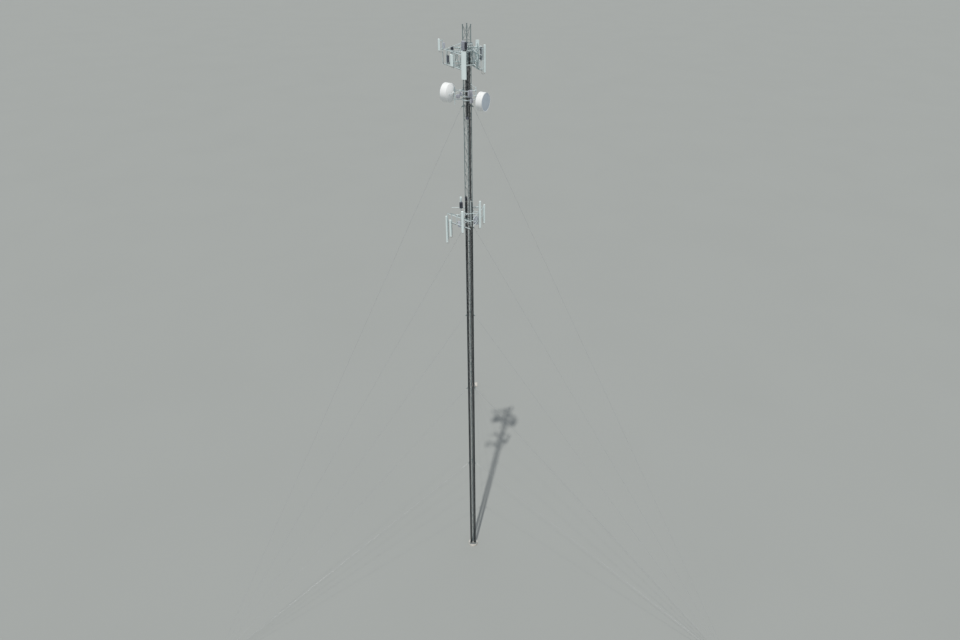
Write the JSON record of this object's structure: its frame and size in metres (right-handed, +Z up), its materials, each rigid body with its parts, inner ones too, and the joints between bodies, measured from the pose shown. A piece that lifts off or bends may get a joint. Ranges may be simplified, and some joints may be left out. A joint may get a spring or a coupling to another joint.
{
  "type": "guyed lattice radio mast, half-size model",
  "caption": "Tall slim triangular lattice mast held by guy wires, with panel antenna frames near the top and middle, two shrouded dishes and dark feeder cables.",
  "frame": {"origin": "on the ground under the middle of the mast, at the underside of its pier", "axes": "+Z up along the mast, +X to the right, -Y towards the front, between the left and right anchors"},
  "size_m": [35.8818, 31.0746, 38.4],
  "materials": {
    "concrete": "rough concrete",
    "dark_steel": "weathered galvanised",
    "galvanised": "dull galvanised",
    "wire": "stranded galvanised wire",
    "frame_steel": "bright galvanised",
    "panel_white": "satin",
    "radio_grey": "satin",
    "dish_white": "satin",
    "radome_fabric": "stretched coated fabric",
    "cable_black": "matt jacket"
  },
  "bodies": {
    "root": {"base_pier": "concrete", "base_plate": "dark_steel", "mast_section_01": "galvanised", "mast_section_02": "galvanised", "mast_section_03": "galvanised", "mast_section_04": "galvanised", "mast_section_05": "galvanised", "mast_section_06": "galvanised", "mast_section_07": "galvanised", "mast_section_08": "galvanised", "mast_section_09": "galvanised", "mast_section_10": "galvanised", "mast_section_11": "galvanised", "mast_section_12": "galvanised", "mast_section_13": "galvanised", "anchor_left": "dark_steel", "anchor_right": "dark_steel", "anchor_rear": "dark_steel", "anchor_blocks": "concrete", "guys_left": "wire", "guys_right": "wire", "guys_rear": "wire", "turnbuckles": "galvanised", "guy_brackets": "galvanised", "top_collar": "frame_steel", "top_frame_left": "frame_steel", "top_frame_right": "frame_steel", "top_frame_rear": "frame_steel", "top_panels_left": "panel_white", "top_panels_right": "panel_white", "top_panels_rear": "panel_white", "top_radios": "radio_grey", "mid_radios": "radio_grey", "mid_collar": "frame_steel", "mid_frame_left": "frame_steel", "mid_frame_right": "frame_steel", "mid_frame_rear": "frame_steel", "mid_panels_left": "panel_white", "mid_panels_right": "panel_white", "mid_panels_rear": "panel_white", "mid_whip": "panel_white", "dish_frame": "frame_steel", "dish_left": "dish_white", "dish_right": "dish_white", "radome_left": "radome_fabric", "radome_right": "radome_fabric", "cables_right": "cable_black", "cables_left": "cable_black", "cable_hangers": "dark_steel"}
  },
  "joints": []
}
